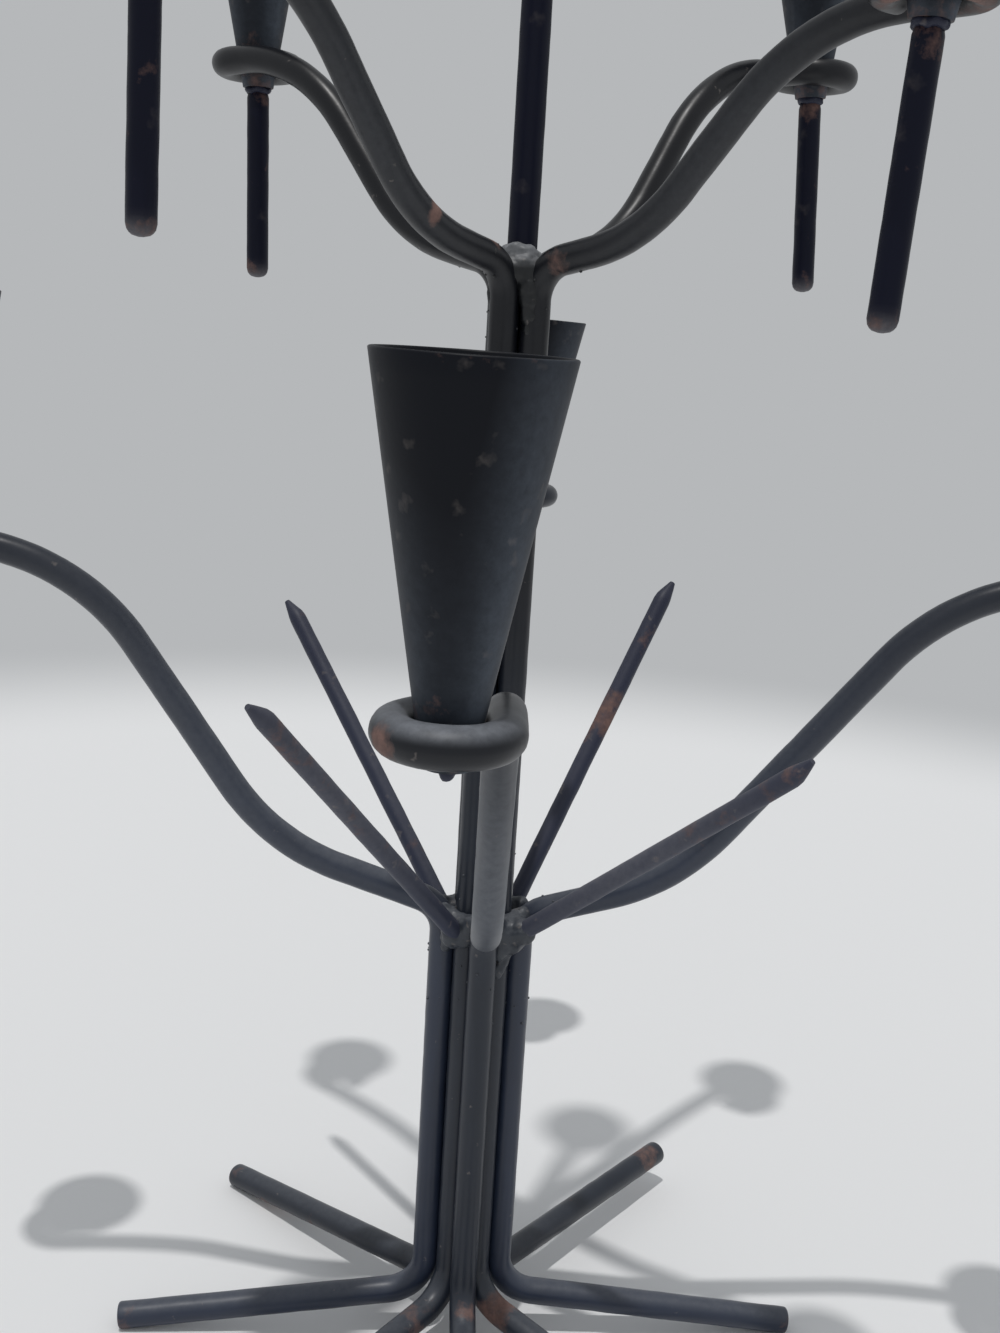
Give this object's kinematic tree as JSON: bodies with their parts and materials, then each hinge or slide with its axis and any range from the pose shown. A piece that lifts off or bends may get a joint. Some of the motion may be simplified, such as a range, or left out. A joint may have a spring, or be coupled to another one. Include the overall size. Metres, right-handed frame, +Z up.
{
  "type": "candelabra",
  "caption": "Free-standing black wrought-iron candelabra: round bars bundled into a stem, bent out into feet and looped arms that hold cone-shaped sheet cups, with pointed spikes between",
  "frame": {"origin": "on the floor, under the axis of the stem", "axes": "+Z up along the stem, +X towards the right foot and lower arm, +Y away from the viewer towards the back foot and lower arm"},
  "size_m": [0.4091, 0.4108, 0.7386],
  "materials": {
    "bar_paint": "satin blue-black paint over forged round bar, with chips and a little rust",
    "cup_paint": "satin black paint on smooth rolled sheet",
    "worn_paint": "black paint worn through to brown rust and grey steel",
    "weld_metal": "lumpy weld beads under thin, dusty black paint"
  },
  "bodies": {
    "root": {"lower_bar_right": "bar_paint", "lower_cup_right": "cup_paint", "lower_cup_tip_right": "worn_paint", "lower_bar_back": "bar_paint", "lower_cup_back": "cup_paint", "lower_cup_tip_back": "worn_paint", "lower_bar_left": "bar_paint", "lower_cup_left": "cup_paint", "lower_cup_tip_left": "worn_paint", "lower_bar_front": "bar_paint", "lower_cup_front": "cup_paint", "lower_cup_tip_front": "worn_paint", "upper_bar_back_right": "bar_paint", "upper_cup_back_right": "cup_paint", "drop_rod_back_right": "bar_paint", "spike_back_right": "worn_paint", "corner_weld_back_right": "weld_metal", "upper_bar_back_left": "bar_paint", "upper_cup_back_left": "cup_paint", "drop_rod_back_left": "bar_paint", "spike_back_left": "worn_paint", "corner_weld_back_left": "weld_metal", "upper_bar_front_left": "bar_paint", "upper_cup_front_left": "cup_paint", "drop_rod_front_left": "bar_paint", "spike_front_left": "worn_paint", "corner_weld_front_left": "weld_metal", "upper_bar_front_right": "bar_paint", "upper_cup_front_right": "cup_paint", "drop_rod_front_right": "bar_paint", "spike_front_right": "worn_paint", "corner_weld_front_right": "weld_metal", "centre_rod": "bar_paint", "crown_weld": "weld_metal", "top_cup": "cup_paint"}
  },
  "joints": []
}
